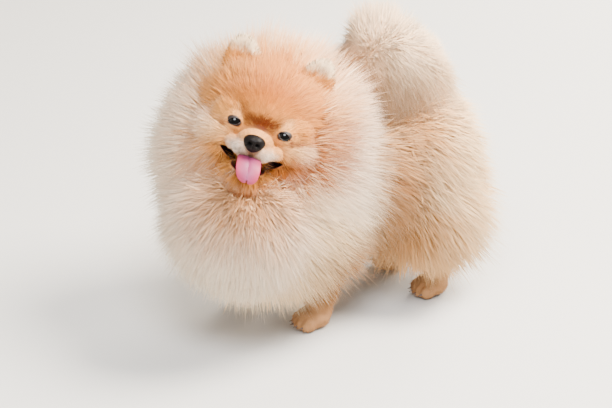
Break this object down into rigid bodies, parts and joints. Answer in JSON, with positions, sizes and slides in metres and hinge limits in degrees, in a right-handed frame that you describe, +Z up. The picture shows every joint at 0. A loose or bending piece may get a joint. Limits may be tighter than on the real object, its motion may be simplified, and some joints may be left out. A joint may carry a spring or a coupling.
{
  "type": "pomeranian",
  "caption": "Standing Pomeranian dog, life size and still, head turned to its left and raised, mouth open with the tongue out, tail plume over the back.",
  "frame": {"origin": "middle of the underside of the whole dog's box, on the floor it stands on", "axes": "+Z up, the body points along -Y, the dog's left side is +X"},
  "size_m": [0.2092, 0.3418, 0.3026],
  "materials": {
    "coat": "long, soft orange and cream coat",
    "ear": "short cream fur over thin skin",
    "nose": "moist black nose leather",
    "tongue": "moist pink tongue",
    "eye": "glossy dark brown eye"
  },
  "bodies": {
    "root": {"head": "coat", "jaw": "coat", "neck": "coat", "torso": "coat", "tail": "coat", "foreleg_left": "coat", "foreleg_right": "coat", "hindleg_left": "coat", "hindleg_right": "coat", "ear_left": "ear", "ear_right": "ear", "nose": "nose", "tongue": "tongue", "eye_left": "eye", "eye_right": "eye"}
  },
  "joints": []
}
